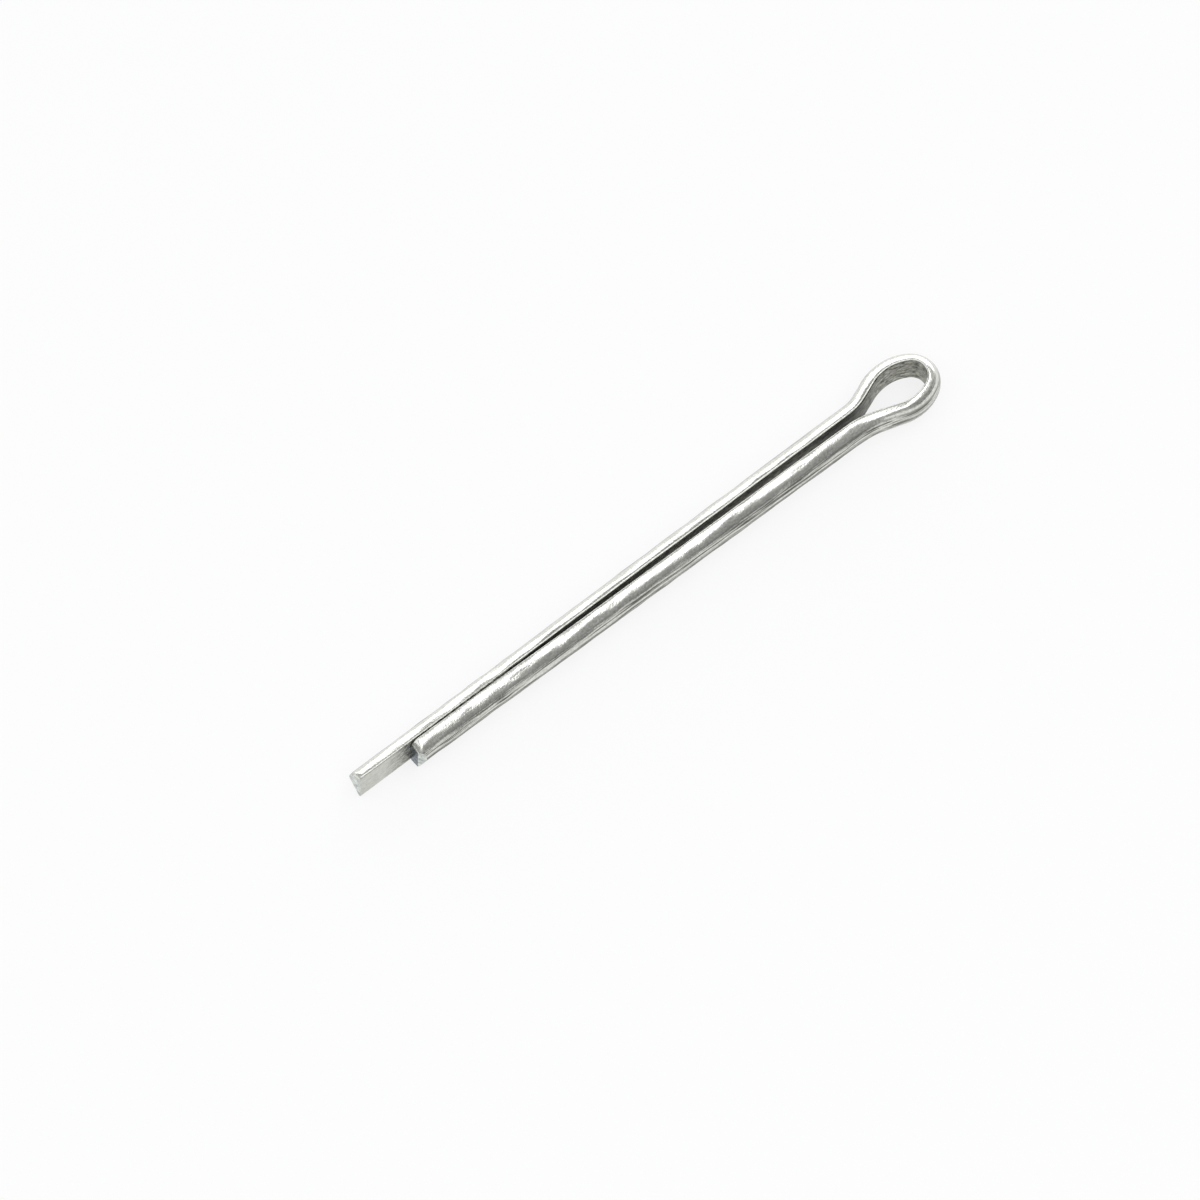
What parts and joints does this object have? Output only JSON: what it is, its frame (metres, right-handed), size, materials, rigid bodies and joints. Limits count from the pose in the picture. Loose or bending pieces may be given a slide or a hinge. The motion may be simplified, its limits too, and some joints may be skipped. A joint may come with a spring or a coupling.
{
  "type": "cotter pin",
  "caption": "Half-round steel wire folded flat to flat into a split shank, with a teardrop eye at the fold and one leg longer than the other.",
  "frame": {"origin": "on the shank's axis, under the eye, where the eye seats against the hole it is pushed through", "axes": "+X along the shank towards the eye, +Y towards the long leg, +Z square to the eye's plane"},
  "size_m": [0.0576, 0.0052, 0.0028],
  "materials": {
    "zinc_plated_steel": "bright zinc plate on drawn steel wire"
  },
  "bodies": {
    "root": {"cotter_pin": "zinc_plated_steel"}
  },
  "joints": []
}
